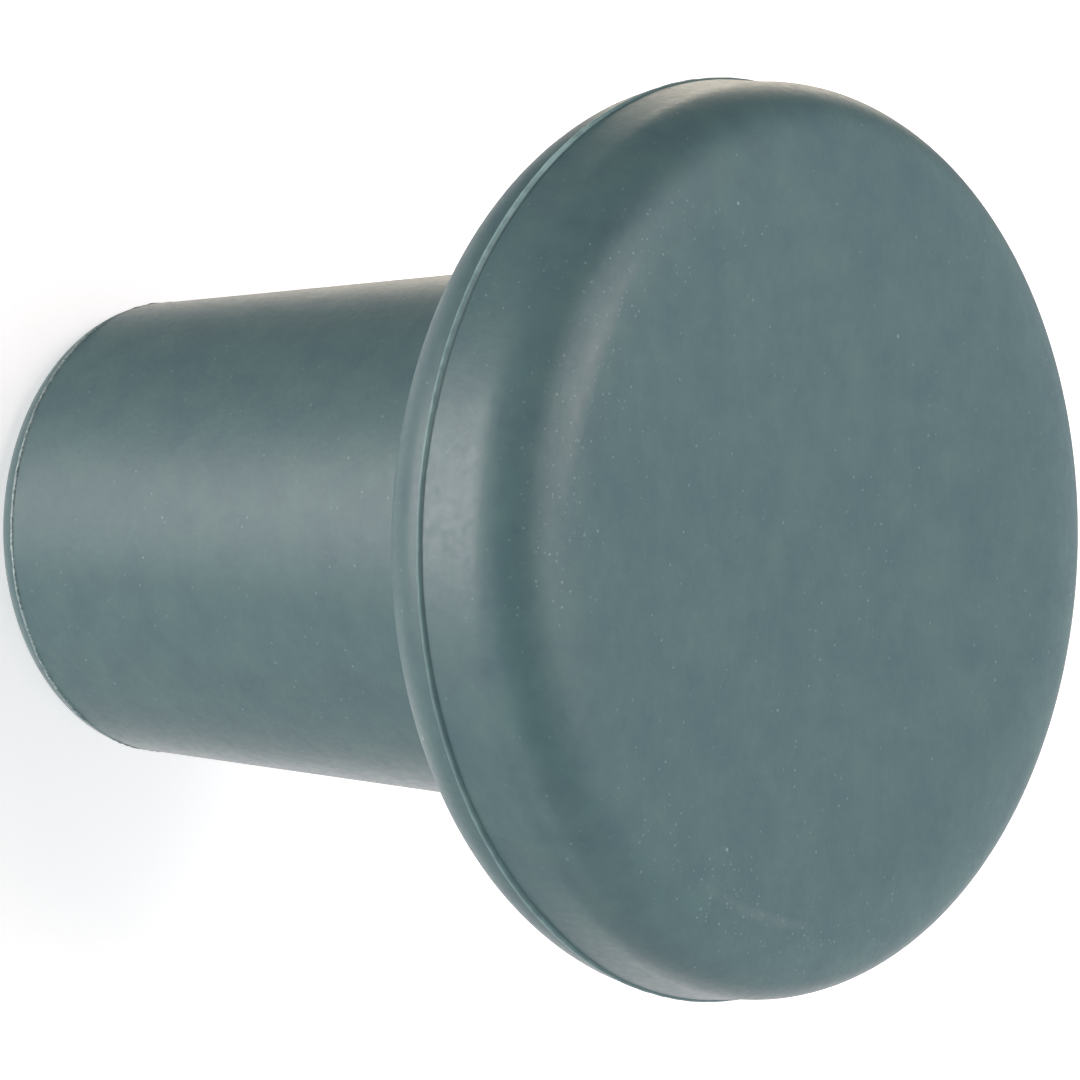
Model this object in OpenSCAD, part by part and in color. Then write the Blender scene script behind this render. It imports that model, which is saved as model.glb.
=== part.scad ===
// Bottle stopper: a mushroom-shaped plug moulded in one piece from silicone rubber.
// It stands on the end of its stem with the head on top.
// Millimetres, +Z up, origin at the centre of the stem's end face.

/* [Head] */
// Diameter of the head's side wall where the shoulder begins
head_d = 34.4; // [28:0.2:42]
// Lean of the side wall, from the parting line in towards the face
side_draft = 1; // [0.5:0.5:2]
// Height of the head above its parting line, up to the flat face
front_h = 5.05; // [3.6:0.05:8]
// Height of the head below its parting line, down to the underside
rear_h = 2.8; // [2.8:0.1:5]
// Radius of the shoulder where it leaves the side wall
shoulder_wall_r = 2.7; // [1.5:0.1:3.2]
// Radius of the shoulder where it runs into the flat face
shoulder_face_r = 3.7; // [3.2:0.1:4.2]
// Radius of the edge round the underside
rear_edge_r = 2.5; // [0.5:0.1:2.6]

/* [Stem] */
// Diameter of the stem where it meets the underside
stem_root_d = 21.5; // [18.6:0.1:24]
// Diameter of the stem at its lower end, just above the rounded edge
stem_tip_d = 17.8; // [14:0.1:18.4]
// Length of the stem, from its end face to the underside
stem_len = 27.2; // [15:0.1:45]
// Radius of the edge round the end face
tip_edge_r = 1.4; // [0.5:0.1:3]
// Radius of the fillet between the stem and the underside
root_fillet_r = 0.7; // [0.3:0.1:2]

/* [Flash at the parting lines] */
// How far the flash stands out of the head's side wall
head_flash_h = 0.16; // [0.12:0.01:0.4]
// Thickness of the head's flash at its round crest
head_flash_t = 0.2; // [0.1:0.01:0.22]
// How far the flash stands out of the stem
tip_flash_h = 0.09; // [0.08:0.01:0.3]
// Thickness of the stem's flash at its round crest
tip_flash_t = 0.12; // [0.08:0.01:0.14]
// Angle at which each side of the flash spreads towards its root
flash_flank_a = 30; // [5:1:40]

/* [Hidden] */
$fn = 180;

// Radii of the round walls
head_r = head_d / 2;
stem_root_r = stem_root_d / 2;
stem_tip_r = stem_tip_d / 2;

// Heights above the stem's end face
underside_z = stem_len;
parting_z = underside_z + rear_h;
face_z = parting_z + front_h;

// The shoulder is two arcs that share a normal where they meet, so it has no corner there.
// Both centres lie on that normal, which has the slope of a 3-4-5 triangle to keep them on round numbers.
split_dir = [0.6, 0.8];
inner_c = [
    head_r - shoulder_wall_r - (shoulder_face_r - shoulder_wall_r) * split_dir.x,
    face_z - shoulder_face_r
];
outer_c = inner_c + (shoulder_face_r - shoulder_wall_r) * split_dir;

// Radius of the front side wall at the parting line, where it has leaned out from the shoulder's start
parting_r = head_r + (outer_c.y - parting_z) * tan(side_draft);

// Centre of the edge round the underside
rear_c = [head_r - rear_edge_r, underside_z + rear_edge_r];

// The stem's wall leans out by this angle as it rises
taper = atan((stem_root_r - stem_tip_r) / (stem_len - tip_edge_r));
wall_normal = [cos(taper), -sin(taper)];

// The edge round the end face: its centre, and where it meets the leaning wall
tip_c = [stem_tip_r - tip_edge_r / cos(taper), tip_edge_r];
tip_line = tip_c + tip_edge_r * wall_normal;

// The fillet under the head: its centre, and where it leaves the leaning wall
fillet_c = [
    stem_tip_r + (underside_z - root_fillet_r - tip_edge_r) * tan(taper) + root_fillet_r / cos(taper),
    underside_z - root_fillet_r
];
fillet_foot = fillet_c - root_fillet_r * wall_normal;

// How deep added forms reach into what carries them
sink = 0.4;

// Half of the head's section: a thick disc with a soft shoulder in front and a rounded rear edge.
// The flash covers the small step between the mould's halves at the parting line.
module head_section() {
    polygon([
        [0, underside_z],
        [rear_c.x, underside_z],
        [head_r, rear_c.y],
        [head_r, parting_z],
        [parting_r, parting_z],
        [head_r, outer_c.y],
        outer_c + shoulder_wall_r * split_dir,
        [inner_c.x, face_z],
        [0, face_z]
    ]);
    translate(rear_c) circle(r = rear_edge_r);
    translate(outer_c) circle(r = shoulder_wall_r);
    translate(inner_c) shoulder_face_slice();
}

// The part of the shoulder's larger disc that lies on the face's side of the shared normal
module shoulder_face_slice() {
    intersection() {
        circle(r = shoulder_face_r);
        polygon([
            [0, 0],
            (shoulder_face_r + sink) * split_dir,
            [0, shoulder_face_r + sink],
            [-shoulder_face_r, shoulder_face_r + sink],
            [-shoulder_face_r, 0]
        ]);
    }
}

// Half of the stem's section: a cone with a rounded edge at its end face
module stem_section() {
    polygon([
        [0, 0],
        [tip_c.x, 0],
        tip_line,
        [stem_root_r, underside_z],
        [stem_root_r, underside_z + sink],
        [0, underside_z + sink]
    ]);
    translate(tip_c) circle(r = tip_edge_r);
}

// The corner between the stem and the underside, filled to a concave arc
module root_fillet_section() {
    difference() {
        polygon([
            fillet_foot - sink * wall_normal,
            fillet_foot,
            fillet_c,
            [fillet_c.x, underside_z],
            [fillet_c.x, underside_z + sink],
            [stem_root_r - sink, underside_z + sink]
        ]);
        translate(fillet_c) circle(r = root_fillet_r);
    }
}

// Section of the fin that the mould leaves where its halves meet, standing out by stand_out
module flash_section(stand_out, thick) {
    crest_r = thick / 2;
    crest_x = stand_out - crest_r;
    root_half = crest_r + (crest_x + sink) * tan(flash_flank_a);
    polygon([
        [-sink, -root_half],
        [crest_x, -crest_r],
        [crest_x, crest_r],
        [-sink, root_half]
    ]);
    translate([crest_x, 0]) circle(r = crest_r);
}

module stopper() {
    color("#64797B")
    rotate_extrude() {
        head_section();
        stem_section();
        root_fillet_section();
        translate([parting_r, parting_z]) flash_section(head_flash_h, head_flash_t);
        translate(tip_line) rotate(-taper) flash_section(tip_flash_h, tip_flash_t);
    }
}

stopper();
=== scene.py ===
import math

import bmesh
import bpy
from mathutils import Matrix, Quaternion, Vector, noise


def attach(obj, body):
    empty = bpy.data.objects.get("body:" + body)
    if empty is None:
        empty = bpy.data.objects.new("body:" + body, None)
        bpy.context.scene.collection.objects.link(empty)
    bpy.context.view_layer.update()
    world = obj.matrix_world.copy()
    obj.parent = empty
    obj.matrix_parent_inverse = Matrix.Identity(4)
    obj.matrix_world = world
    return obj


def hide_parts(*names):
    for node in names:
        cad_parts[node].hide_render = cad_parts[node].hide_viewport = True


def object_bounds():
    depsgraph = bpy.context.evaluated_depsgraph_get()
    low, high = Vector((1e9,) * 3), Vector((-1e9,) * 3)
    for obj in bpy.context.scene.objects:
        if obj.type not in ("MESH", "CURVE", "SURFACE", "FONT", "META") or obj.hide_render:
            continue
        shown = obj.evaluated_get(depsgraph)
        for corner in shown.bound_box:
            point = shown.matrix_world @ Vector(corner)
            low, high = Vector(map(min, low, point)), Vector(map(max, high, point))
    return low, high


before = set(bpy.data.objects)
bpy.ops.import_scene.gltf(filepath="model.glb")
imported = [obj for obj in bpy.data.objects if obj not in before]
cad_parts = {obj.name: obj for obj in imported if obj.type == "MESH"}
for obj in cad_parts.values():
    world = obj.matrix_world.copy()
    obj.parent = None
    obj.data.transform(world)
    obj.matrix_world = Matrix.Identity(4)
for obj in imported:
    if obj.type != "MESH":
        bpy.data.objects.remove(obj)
cadLow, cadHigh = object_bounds()
mm = 0.001
scene = bpy.context.scene
scene.view_settings.view_transform = "Standard"


def linearColour(hexText):
    # sRGB hex to the linear values that the sockets take
    parts = [int(hexText[i:i + 2], 16) / 255 for i in (1, 3, 5)]
    return [p / 12.92 if p <= 0.04045 else ((p + 0.055) / 1.055) ** 2.4 for p in parts] + [1.0]


def addNode(tree, kind, settings=None, **links):
    # one node: settings are its own properties, and links go by socket name, or by place as i0, i1 ...
    node = tree.nodes.new(kind)
    for name, value in (settings or {}).items():
        setattr(node, name, value)
    for name, value in links.items():
        byPlace = name[0] == "i" and name[1:].isdigit()
        socket = node.inputs[int(name[1:]) if byPlace else name.replace("_", " ")]
        if isinstance(value, bpy.types.NodeSocket):
            tree.links.new(value, socket)
        else:
            socket.default_value = value
    return node


cameraPlace = {
    "aim": (0.17, 0.0, 20.8),   # the point that it looks at, mm
    "distance": 354.0,          # mm from that point
    "elevation": 41.0,          # degrees above the head's plane
    "roll": 91.34,              # the stopper's axis lies across the picture
    "lens": 308.4,
}


def makeCamera(place):
    camera = bpy.data.objects.new("camera", bpy.data.cameras.new("camera"))
    scene.collection.objects.link(camera)
    rise = math.radians(place["elevation"])
    look = Vector((0, math.cos(rise), -math.sin(rise)))
    camera.location = (Vector(place["aim"]) - look * place["distance"]) * mm
    camera.rotation_mode = "QUATERNION"
    roll = Quaternion((0, 0, 1), math.radians(place["roll"]))
    camera.rotation_quaternion = look.to_track_quat("-Z", "Y") @ roll
    camera.data.lens = place["lens"]
    camera.data.clip_start = 10 * mm
    camera.data.clip_end = 10
    scene.camera = camera


makeCamera(cameraPlace)
print("camera placed")

lampTints = {"neutral": "#FFF7F7", "cool": "#E4FAFF", "warm": "#FFF0DC"}
# azimuth 0 is the camera's side and 90 is +X; across and tall are half angles as the stopper sees them
lamps = {
    # the key: the bright patch on the head's side and the band along the stem
    "keyBox": {"azimuth": -10, "elevation": -33, "across": 18, "tall": 14, "strength": 9.3,
               "tint": "neutral"},
    # its dim neighbour, which lets the light die away softly towards +X
    "keySpill": {"azimuth": 25, "elevation": -30, "across": 20, "tall": 15, "strength": 0.8,
                 "tint": "neutral"},
    # a wide strip level with the head: even light on the stem and the side, and low on the shoulder
    "sideStrip": {"azimuth": 35, "elevation": 0, "across": 60, "tall": 3, "strength": 4.5, "tint": "cool"},
    # overhead: the soft crescent on the shoulder, and much of the light on the face
    "topBox": {"azimuth": -110, "elevation": 75, "across": 22, "tall": 20, "strength": 3.5,
               "tint": "neutral"},
    # behind, one on each side: the bright rims, sharp on the -X side and broad on the other
    "rearBox": {"azimuth": -145, "elevation": -30, "across": 10, "tall": 14, "strength": 4, "tint": "warm"},
    "rimBox": {"azimuth": 145, "elevation": -30, "across": 30, "tall": 16, "strength": 1, "tint": "neutral"},
    # almost straight below: the line of light along the head's rear edge
    "lowFill": {"azimuth": 180, "elevation": -75, "across": 30, "tall": 30, "strength": 0.8,
                "tint": "neutral"},
    # fills: one on the +X side, and one from behind over the face
    "sideFill": {"azimuth": 120, "elevation": -15, "across": 75, "tall": 60, "strength": 0.45,
                 "tint": "neutral"},
    "faceFill": {"azimuth": 160, "elevation": 50, "across": 60, "tall": 55, "strength": 0.54,
                 "tint": "cool"},
}
lampDistance = 500
lampTarget = Vector((0, 0, 24))


def makeLamp(name, lamp):
    data = bpy.data.lights.new(name, "AREA")
    data.shape = "RECTANGLE"
    data.size = 2 * lampDistance * math.tan(math.radians(lamp["across"])) * mm
    data.size_y = 2 * lampDistance * math.tan(math.radians(lamp["tall"])) * mm
    data.energy = lamp["strength"] * math.pi * data.size * data.size_y
    data.color = linearColour(lampTints[lamp["tint"]])[:3]
    light = bpy.data.objects.new(name, data)
    scene.collection.objects.link(light)
    turn, rise = math.radians(lamp["azimuth"]), math.radians(lamp["elevation"])
    way = Vector((math.sin(turn) * math.cos(rise), -math.cos(turn) * math.cos(rise), math.sin(rise)))
    light.location = (lampTarget + way * lampDistance) * mm
    light.rotation_mode = "QUATERNION"
    light.rotation_quaternion = (-way).to_track_quat("-Z", "Y")


for lampName, lampValues in lamps.items():
    makeLamp(lampName, lampValues)

floorLook = {
    "colour": "#FFF2F0",             # a touch warm, because the fill light is cool
    "size": 4000,
    "near": 60, "nearGlow": 0.55,    # mm from the axis; low enough there for the stopper's shadow to show
    "far": 350, "farGlow": 1.0,
}


def makeFloor(look):
    bm = bmesh.new()
    bmesh.ops.create_grid(bm, x_segments=1, y_segments=1, size=look["size"] / 2 * mm)
    mesh = bpy.data.meshes.new("floor")
    bm.to_mesh(mesh)
    bm.free()
    floor = bpy.data.objects.new("floor", mesh)
    scene.collection.objects.link(floor)
    material = bpy.data.materials.new("white studio floor")
    material.use_nodes = True
    tree = material.node_tree
    tree.nodes.clear()
    path = addNode(tree, "ShaderNodeLightPath")
    seen = addNode(tree, "ShaderNodeMath", {"operation": "MAXIMUM"},
                   i0=path.outputs["Is Camera Ray"], i1=path.outputs["Is Glossy Ray"])
    place = addNode(tree, "ShaderNodeTexCoord").outputs["Object"]
    away = addNode(tree, "ShaderNodeVectorMath", {"operation": "LENGTH"}, i0=place)
    level = addNode(tree, "ShaderNodeMapRange", {"interpolation_type": "SMOOTHSTEP"},
                    Value=away.outputs["Value"], From_Min=look["near"] * mm, From_Max=look["far"] * mm,
                    To_Min=look["nearGlow"], To_Max=look["farGlow"])
    glow = addNode(tree, "ShaderNodeMath", {"operation": "MULTIPLY"}, i0=seen.outputs[0],
                   i1=level.outputs[0])
    paint = addNode(tree, "ShaderNodeBsdfDiffuse", Color=linearColour(look["colour"]))
    shine = addNode(tree, "ShaderNodeEmission", Strength=glow.outputs[0])
    both = addNode(tree, "ShaderNodeAddShader", i0=paint.outputs[0], i1=shine.outputs[0])
    addNode(tree, "ShaderNodeOutputMaterial", Surface=both.outputs[0])
    mesh.materials.append(material)
    floor.visible_shadow = False   # the low lamps stand under it and shine through
    floor.visible_diffuse = False
    floor.visible_glossy = False


makeFloor(floorLook)

worldLook = {"strength": 0.15, "colour": "#F2F8FF"}
world = bpy.data.worlds.new("studio")
scene.world = world
world.use_nodes = True
world.node_tree.nodes["Background"].inputs["Strength"].default_value = worldLook["strength"]
world.node_tree.nodes["Background"].inputs["Color"].default_value = linearColour(worldLook["colour"])
print("lamps and floor set")

# millimetres and degrees; the overall height and the reach of the head's flash come from the frame
stopper = {
    "headFlash": 0.16,       # how far the flash stands out of the head's side
    "headFlashT": 0.2,       # its thickness at the round crest
    "sideDraft": 1,          # lean of the side wall, from the parting line in towards the face
    "shoulderWallR": 2.7,
    "shoulderFaceR": 3.7,
    "shoulderSplit": 0.8,    # how far up its first arc the shoulder passes to the second, as a sine
    "faceEaseR": 9,          # the face falls off to the shoulder on this wider curve, to the same height
    "frontHeight": 5.05,     # from the head's parting line to the face
    "rearHeight": 2.8,       # from the parting line back to the underside
    "rearEdgeR": 2.5,
    "rootD": 21.5,
    "tipD": 17.8,
    "tipEdgeR": 1.4,
    "rootFilletR": 0.7,
    "tipFlash": 0.09,
    "tipFlashT": 0.12,
    "flankAngle": 30,
    "sharpFrom": 25,         # edges that turn by this much are sharp: the flash stands on such a corner
    "stepsRound": 600,
}


def newest(made):
    return [g for g in made["geom_last"] if isinstance(g, bmesh.types.BMVert)][0]


def runStraight(bm, vert, across, up, count):
    # a straight run of edges from the last point of the section, in mm
    return newest(bmesh.ops.spin(bm, geom=[vert], cent=(0, 0, 0), axis=(0, 1, 0), angle=0.0, steps=count,
                                 dvec=(across * mm / count, 0, up * mm / count), use_duplicate=False))


def runArc(bm, vert, across, up, degrees, count):
    # an arc from the last point, round a centre that lies (across, up) from it; positive turns clockwise
    centre = vert.co + Vector((across, 0, up)) * mm
    return newest(bmesh.ops.spin(bm, geom=[vert], cent=centre, axis=(0, 1, 0), angle=math.radians(degrees),
                                 steps=count, use_duplicate=False))


def runFlash(bm, vert, standOut, thick, lean, flankAngle, drop=0.0):
    # out along one flank, round the crest and back; the far flank may run deeper, by drop
    crestR = thick / 2
    flank = standOut - crestR
    spread = math.tan(math.radians(flankAngle))
    turn = math.radians(lean)
    out = Vector((math.cos(turn), -math.sin(turn)))
    down = Vector((-math.sin(turn), -math.cos(turn)))
    run = (out + down * spread) * flank
    vert = runStraight(bm, vert, run.x, run.y, 3)
    vert = runArc(bm, vert, down.x * crestR, down.y * crestR, 180, 12)
    run = (down * spread - out) * (flank + drop)
    return runStraight(bm, vert, run.x, run.y, 3)


def stopperSection(bm, s):
    # half of the moulded section, from the middle of the face round to the middle of the stem's end
    crest = cadHigh.x / mm
    faceZ = cadHigh.z / mm
    partingR = crest - s["headFlash"]
    partingZ = faceZ - s["frontHeight"]
    undersideZ = partingZ - s["rearHeight"]
    shoulderRise = s["shoulderFaceR"] - (s["shoulderFaceR"] - s["shoulderWallR"]) * s["shoulderSplit"]
    wall = partingR - (faceZ - shoulderRise - partingZ) * math.tan(math.radians(s["sideDraft"]))
    meet = math.asin((s["faceEaseR"] - shoulderRise) / (s["faceEaseR"] - s["shoulderWallR"]))
    innerX = wall - s["shoulderWallR"] * (1 - math.cos(meet)) - s["faceEaseR"] * math.cos(meet)
    spread = math.tan(math.radians(s["flankAngle"]))
    flashHalf = s["headFlashT"] / 2 + (s["headFlash"] - s["headFlashT"] / 2) * spread
    tipFlashHalf = s["tipFlashT"] / 2 + (s["tipFlash"] - s["tipFlashT"] / 2) * spread
    taper = math.atan2(s["rootD"] / 2 - s["tipD"] / 2, undersideZ - s["tipEdgeR"])
    normal = Vector((math.cos(taper), -math.sin(taper)))
    along = Vector((-math.sin(taper), -math.cos(taper)))      # down the stem
    tipC = Vector((s["tipD"] / 2 - s["tipEdgeR"] / math.cos(taper), s["tipEdgeR"]))
    tipLine = tipC + normal * s["tipEdgeR"]
    filletC = Vector((s["tipD"] / 2 + (undersideZ - s["rootFilletR"] - s["tipEdgeR"]) * math.tan(taper)
                      + s["rootFilletR"] / math.cos(taper), undersideZ - s["rootFilletR"]))
    filletFoot = filletC - normal * s["rootFilletR"]

    vert = bm.verts.new((0, 0, faceZ * mm))
    vert = runStraight(bm, vert, innerX, 0, 14)
    vert = runArc(bm, vert, 0, -s["faceEaseR"], 90 - math.degrees(meet), 12)
    hub = -Vector((math.cos(meet), math.sin(meet))) * s["shoulderWallR"]
    vert = runArc(bm, vert, hub.x, hub.y, math.degrees(meet), 24)
    vert = runStraight(bm, vert, partingR - vert.co.x / mm, partingZ + flashHalf - vert.co.z / mm, 8)
    vert = runFlash(bm, vert, s["headFlash"], s["headFlashT"], 0, s["flankAngle"], partingR - wall)
    vert = runStraight(bm, vert, wall - vert.co.x / mm, undersideZ + s["rearEdgeR"] - vert.co.z / mm, 2)
    vert = runArc(bm, vert, -s["rearEdgeR"], 0, 90, 16)
    vert = runStraight(bm, vert, filletC.x - (wall - s["rearEdgeR"]), 0, 4)
    vert = runArc(bm, vert, 0, -s["rootFilletR"], -(90 - math.degrees(taper)), 6)
    fall = tipLine - along * tipFlashHalf - filletFoot
    vert = runStraight(bm, vert, fall.x, fall.y, 20)
    vert = runFlash(bm, vert, s["tipFlash"], s["tipFlashT"], math.degrees(taper), s["flankAngle"])
    # the flash's lower foot sinks into the rounded edge, so the arc starts where the wall would have ended
    vert = runStraight(bm, vert, tipLine.x - vert.co.x / mm, tipLine.y - vert.co.z / mm, 1)
    vert = runArc(bm, vert, -normal.x * s["tipEdgeR"], -normal.y * s["tipEdgeR"],
                  90 - math.degrees(taper), 12)
    runStraight(bm, vert, -vert.co.x / mm, 0, 6)


def makeStopper(s):
    bm = bmesh.new()
    stopperSection(bm, s)
    for v in bm.verts:
        if abs(v.co.x) < 1e-7:
            v.co.x = 0
    bmesh.ops.spin(bm, geom=bm.verts[:] + bm.edges[:], cent=(0, 0, 0), axis=(0, 0, 1),
                   angle=math.tau, steps=s["stepsRound"], use_merge=True, use_duplicate=False)
    bmesh.ops.remove_doubles(bm, verts=bm.verts[:], dist=1e-7)
    bmesh.ops.recalc_face_normals(bm, faces=bm.faces[:])
    for face in bm.faces:
        face.smooth = True
    return bm


# how the flash strays from a perfect fin, as shares of its reach, and how pale it is painted for light
# shining through it; and where dust has been worked into the surface, one arc of it also a painted highlight
surfaceWear = {
    "headLoss": 0.06, "headSlow": 0.2, "headFine": 0.1,
    "tipLoss": 0.3, "tipSlow": 0.4, "tipFine": 0.5,
    "mostLoss": 0.85,
    "headSlowScale": 3.1, "headFineScale": 38,          # how fast the two kinds change on the way round
    "tipSlowScale": 6.0, "tipFineScale": 30, "wanderScale": 5,
    "foot": 0.002,            # mm past the wall from which a point belongs to the flash
    "tipAbove": 0.3, "tipBelow": 0.4,         # mm of the stem's height in which its flash is looked for
    "wander": 0.035, "wanderTall": 0.9,       # mm that the head's line strays, and how far that is felt
    "headCrest": 0.45, "tipCrest": 0.12,      # share of the reach past which each is as pale as it gets; the stem's is reached early, so its flank is painted pale too, which lightens the shade at the fin's foot
    "lowFrom": 0.82, "lowTo": 0.95,           # sine of the azimuth between which the flash dies down
    "lowLoss": 0.45, "lowPale": 0.75,          # how much of its reach and of its paleness goes there
    "swell": 0.07,            # mm that the head's side fills out to meet the low flash
    "swellTall": 1.6, "swellDeep": 0.3,       # what moves: mm up or down, and in, from the parting line
    "paleLeast": 0.15, "paleGain": 1.35,       # painted light: the head's flash is painted palest away from the camera's side, for light from behind shining through it
    "paleFrom": 15,           # degrees round from the camera's side to where it is painted darkest
    "tipPale": 0.9, "tipDull": 0.6,           # the stem's flash, painted pale the same way, and how much duller it is where it is worn
    # dust worked in along the edge of the face, in a paler colour; the second arc lies on the shoulder's
    # highlight and also paints it brighter, a painted highlight: mm, and degrees round from the camera's side
    "rubAndHighlightArcs": ({"radius": 14.3, "wide": 1.9, "at": 76, "half": 41, "much": 0.88},
             {"radius": 14.95, "wide": 2.3, "at": -24, "half": 42, "much": 1.0}),
}


def lowShare(ring, wear):
    # 0 to 1: how far the flash has died down at this way out from the axis
    return min(1.0, max(0.0, (abs(ring.x) - wear["lowFrom"]) / (wear["lowTo"] - wear["lowFrom"])))


def wearSurface(bm, s, wear):
    # trims the flash unevenly, always inwards, and keeps as attributes how pale it is painted, which is
    # painted light shining through the fin
    layer = bm.verts.layers.float.new("flash")
    tipLayer = bm.verts.layers.float.new("tipFlash")
    rubAndHighlightLayer = bm.verts.layers.float.new("rubAndHighlight")
    faceZ = cadHigh.z / mm
    partingZ = faceZ - s["frontHeight"]
    partingR = cadHigh.x / mm - s["headFlash"]
    stemRise = (s["rootD"] - s["tipD"]) / 2 / (partingZ - s["rearHeight"] - s["tipEdgeR"])
    for v in bm.verts:
        radius, z = math.hypot(v.co.x, v.co.y) / mm, v.co.z / mm
        ring = Vector((v.co.x, v.co.y, 0)).normalized() if radius > 1 else Vector()
        onHead = radius > partingR + wear["foot"]
        stem = s["tipD"] / 2 + (z - s["tipEdgeR"]) * stemRise
        byTip = -wear["tipBelow"] < z - s["tipEdgeR"] < wear["tipAbove"]
        onTip = not onHead and byTip and radius > stem + wear["foot"]
        if not (onHead or onTip):
            continue
        base, reach, kind = (partingR, s["headFlash"], "head") if onHead else (stem, s["tipFlash"], "tip")
        share = min(1.0, (radius - base) / reach)
        slow = noise.noise(ring * wear[kind + "SlowScale"] + Vector((4.7, 1.3, reach * 40)))
        fine = noise.noise(ring * wear[kind + "FineScale"] + Vector((0.4, 7.9, reach * 90)))
        low = lowShare(ring, wear)
        loss = wear[kind + "Loss"] + wear[kind + "Slow"] * slow + wear[kind + "Fine"] * fine
        loss = min(wear["mostLoss"], max(0.0, loss + low * wear["lowLoss"]))
        newRadius = base + (radius - base) * (1 - loss)
        v.co.x, v.co.y = ring.x * newRadius * mm, ring.y * newRadius * mm
        rise = min(1.0, share / wear[kind + "Crest"])
        swing = math.degrees(math.atan2(v.co.x, -v.co.y)) - wear["paleFrom"]
        pale = min(1.0, wear["paleLeast"] + wear["paleGain"] * (1 - math.cos(math.radians(swing))))
        pale = pale if onHead else wear["tipPale"] * (1 - wear["tipDull"] * loss)
        v[layer if onHead else tipLayer] = rise * pale * (1 - low * wear["lowPale"])
    # fills the head's side out where its flash is low, lets the line stray, and keeps where the arcs of dust
    # and painted highlight lie
    for v in bm.verts:
        radius, z = math.hypot(v.co.x, v.co.y) / mm, v.co.z / mm
        if radius > partingR - wear["swellDeep"] and abs(z - partingZ) < wear["swellTall"]:
            ring = Vector((v.co.x, v.co.y, 0)).normalized()
            near = 1 - abs(z - partingZ) / wear["swellTall"]
            fill = ring * lowShare(ring, wear) * wear["swell"] * near * mm
            v.co.x, v.co.y = v.co.x + fill.x, v.co.y + fill.y
            near = max(0.0, 1 - abs(z - partingZ) / wear["wanderTall"])
            stray = noise.noise(ring * wear["wanderScale"] + Vector((2.2, 9.1, 3.0)))
            v.co.z += near * wear["wander"] * stray * mm
        swing = math.degrees(math.atan2(v.co.x, -v.co.y))
        rubAndHighlightHere = 0.0
        for arc in wear["rubAndHighlightArcs"]:
            band = max(0.0, 1 - abs(radius - arc["radius"]) / arc["wide"])
            turn = max(0.0, 1 - ((swing - arc["at"]) / arc["half"]) ** 2)
            rubAndHighlightHere = max(rubAndHighlightHere, arc["much"] * band * turn)
        v[rubAndHighlightLayer] = rubAndHighlightHere if z > partingZ else 0.0


def finishStopper(s, wear):
    bm = makeStopper(s)
    wearSurface(bm, s, wear)
    for edge in bm.edges:
        edge.smooth = edge.calc_face_angle(0.0) < math.radians(s["sharpFrom"])
    mesh = bpy.data.meshes.new("stopper_rubber")
    bm.to_mesh(mesh)
    bm.free()
    made = bpy.data.objects.new("stopper_rubber", mesh)
    scene.collection.objects.link(made)
    return made


rubberBody = finishStopper(stopper, surfaceWear)
print("stopper modelled", len(rubberBody.data.polygons), "faces")

rubberLook = {
    "base": "#3F5861",
    "cloud": "#5D7773",       # the pigment's faint cloudiness
    "cloudSize": 1.8,         # mm
    "flash": "#9AB9B6",       # painted light: the flash is painted paler, standing in for light that shines through the fin
    "flashPatch": 0.6,        # mm, the duller stretches along it
    "patchLeast": 0.55, "patchMost": 1.3,
    "tipFlash": "#B9C6C2",    # painted light: the stem's flash is painted paler still, for light shining through the fin, broken into beads along it
    "tipBead": 0.13,          # mm
    "beadLeast": 0.3,         # how much of that colour shows between the beads
    # the arcs' colour: dust worked in, and on the second arc a painted highlight too
    "rubAndHighlight": "#858B89",
    "rubAndHighlightShare": 0.46,
    "rubAndHighlightFrom": 0.72,          # where the smudge and painted highlight start, as a share of the arc
    "rubDust": 6.0,           # how much more dust lies on the rub
    "dust": "#93A7A5",
    "dustDrift": 6,           # mm
    "driftLeast": 0.25, "driftMost": 0.85,
    "roughness": 0.438,
    "roughSpread": 0.055,
    "ior": 1.5,
    "grainSize": 0.3,         # mm, the blasted mould's pits, drawn coarser than they are so as to show
    "grainDepth": 0.009,      # mm
}
# fine dust in three sizes: cell and radius in mm, the share of the cells that hold a bit,
# and how pale the bits get
dustLayers = (
    {"cell": 0.24, "radius": 0.065, "lit": 0.07, "pale": 0.55},
    {"cell": 0.34, "radius": 0.08, "lit": 0.22, "pale": 0.42},
    {"cell": 0.95, "radius": 0.1, "lit": 0.17, "pale": 0.8},
)


def dustBits(tree, place, often, layer):
    # one layer of dust: cells with one round bit each, of which a share is lit
    cells = addNode(tree, "ShaderNodeTexVoronoi", {"voronoi_dimensions": "3D", "feature": "F1"},
                    Vector=place, Scale=1 / (layer["cell"] * mm))
    reach = layer["radius"] / layer["cell"]
    bit = addNode(tree, "ShaderNodeMapRange", {"interpolation_type": "SMOOTHSTEP"},
                  Value=cells.outputs["Distance"], From_Min=reach, From_Max=0.3 * reach, To_Max=layer["pale"])
    chance = addNode(tree, "ShaderNodeSeparateColor", Color=cells.outputs["Color"])
    level = addNode(tree, "ShaderNodeMath", {"operation": "MULTIPLY"}, i0=often, i1=layer["lit"])
    shown = addNode(tree, "ShaderNodeMath", {"operation": "LESS_THAN"}, i0=chance.outputs[1],
                    i1=level.outputs[0])
    seen = addNode(tree, "ShaderNodeMath", {"operation": "MULTIPLY"}, i0=bit.outputs[0], i1=shown.outputs[0])
    return addNode(tree, "ShaderNodeMath", {"operation": "MULTIPLY"}, i0=seen.outputs[0],
                   i1=chance.outputs[0]).outputs[0]


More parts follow.
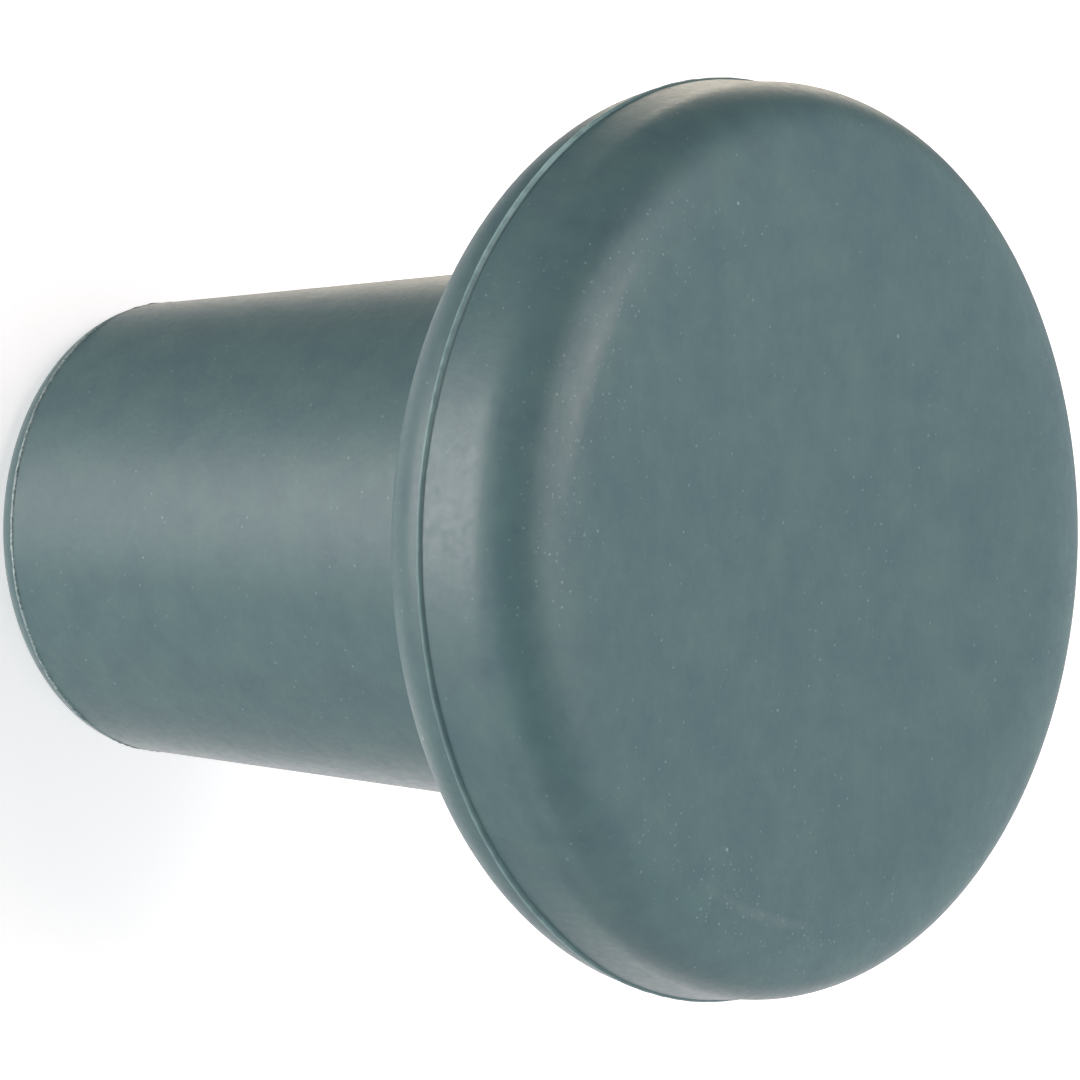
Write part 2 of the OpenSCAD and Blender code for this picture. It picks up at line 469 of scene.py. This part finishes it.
def siliconeRubber(look, layers):
    # pigmented silicone, press moulded against a blasted mould: satin, with soft broad highlights
    material = bpy.data.materials.new("moulded silicone rubber")
    material.use_nodes = True
    tree = material.node_tree
    tree.nodes.clear()
    place = addNode(tree, "ShaderNodeTexCoord").outputs["Object"]
    flash = addNode(tree, "ShaderNodeAttribute", {"attribute_name": "flash"}).outputs["Fac"]
    tipFlash = addNode(tree, "ShaderNodeAttribute", {"attribute_name": "tipFlash"}).outputs["Fac"]
    rubAndHighlight = addNode(tree, "ShaderNodeAttribute", {"attribute_name": "rubAndHighlight"}).outputs["Fac"]

    cloud = addNode(tree, "ShaderNodeTexNoise", Vector=place, Scale=1 / (look["cloudSize"] * mm), Detail=4.0,
                    Roughness=0.75)
    body = addNode(tree, "ShaderNodeMix", {"data_type": "RGBA"}, i0=cloud.outputs["Fac"],
                   i6=linearColour(look["base"]), i7=linearColour(look["cloud"]))
    patch = addNode(tree, "ShaderNodeTexNoise", Vector=place, Scale=1 / (look["flashPatch"] * mm), Detail=2.0)
    paler = addNode(tree, "ShaderNodeMapRange", Value=patch.outputs["Fac"], From_Min=0.3, From_Max=0.7,
                    To_Min=look["patchLeast"], To_Max=look["patchMost"])
    # painted light: how strongly the flash is painted pale for light shining through it
    shineThrough = addNode(tree, "ShaderNodeMath", {"operation": "MULTIPLY"}, i0=flash, i1=paler.outputs[0])
    fin = addNode(tree, "ShaderNodeMix", {"data_type": "RGBA"}, i0=shineThrough.outputs[0],
                  i6=body.outputs[2], i7=linearColour(look["flash"]))
    # painted light on the stem's flash, broken up into beads
    bead = addNode(tree, "ShaderNodeTexNoise", Vector=place, Scale=1 / (look["tipBead"] * mm), Detail=1.0)
    beaded = addNode(tree, "ShaderNodeMapRange", Value=bead.outputs["Fac"], From_Min=0.4, From_Max=0.62,
                     To_Min=look["beadLeast"], To_Max=1.0)
    ragged = addNode(tree, "ShaderNodeMath", {"operation": "MULTIPLY"}, i0=tipFlash, i1=beaded.outputs[0])
    coat = addNode(tree, "ShaderNodeMix", {"data_type": "RGBA"}, i0=ragged.outputs[0],
                   i6=fin.outputs[2], i7=linearColour(look["tipFlash"]))

    # the middle of each arc is a patchy smudge, on the second arc also a painted highlight, and dust lies all
    # over both
    arcMiddle = addNode(tree, "ShaderNodeMapRange", Value=rubAndHighlight, From_Min=look["rubAndHighlightFrom"], From_Max=1.0)
    patchyArcs = addNode(tree, "ShaderNodeMath", {"operation": "MULTIPLY"}, i0=arcMiddle.outputs[0],
                    i1=paler.outputs[0])
    arcAmount = addNode(tree, "ShaderNodeMath", {"operation": "MULTIPLY"}, i0=patchyArcs.outputs[0],
                   i1=look["rubAndHighlightShare"])
    withArcs = addNode(tree, "ShaderNodeMix", {"data_type": "RGBA"}, i0=arcAmount.outputs[0],
                   i6=coat.outputs[2], i7=linearColour(look["rubAndHighlight"]))
    drift = addNode(tree, "ShaderNodeTexNoise", Vector=place, Scale=1 / (look["dustDrift"] * mm), Detail=2.0)
    gate = addNode(tree, "ShaderNodeMapRange", Value=drift.outputs["Fac"], From_Min=0.3, From_Max=0.7,
                   To_Min=look["driftLeast"], To_Max=look["driftMost"])
    often = addNode(tree, "ShaderNodeMath", {"operation": "MULTIPLY_ADD"}, i0=rubAndHighlight, i1=look["rubDust"],
                    i2=gate.outputs[0])
    bits = [dustBits(tree, place, often.outputs[0], layer) for layer in layers]
    fine = addNode(tree, "ShaderNodeMath", {"operation": "ADD"}, i0=bits[0], i1=bits[1])
    dusty = addNode(tree, "ShaderNodeMath", {"operation": "ADD"}, i0=fine.outputs[0], i1=bits[2])
    colour = addNode(tree, "ShaderNodeMix", {"data_type": "RGBA"}, i0=dusty.outputs[0],
                     i6=withArcs.outputs[2], i7=linearColour(look["dust"]))

    grain = addNode(tree, "ShaderNodeTexNoise", Vector=place, Scale=1 / (look["grainSize"] * mm), Detail=2.0)
    gloss = addNode(tree, "ShaderNodeMapRange", Value=grain.outputs["Fac"], From_Min=0.25, From_Max=0.75,
                    To_Min=look["roughness"] - look["roughSpread"],
                    To_Max=look["roughness"] + look["roughSpread"])
    bump = addNode(tree, "ShaderNodeBump", Height=grain.outputs["Fac"], Distance=look["grainDepth"] * mm,
                   Strength=1.0)
    shader = addNode(tree, "ShaderNodeBsdfPrincipled", Base_Color=colour.outputs[2],
                     Roughness=gloss.outputs[0], IOR=look["ior"], Normal=bump.outputs[0])
    addNode(tree, "ShaderNodeOutputMaterial", Surface=shader.outputs[0])
    return material


rubberBody.data.materials.append(siliconeRubber(rubberLook, dustLayers))
print("silicone finished")

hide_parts("stopper")
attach(rubberBody, "root")
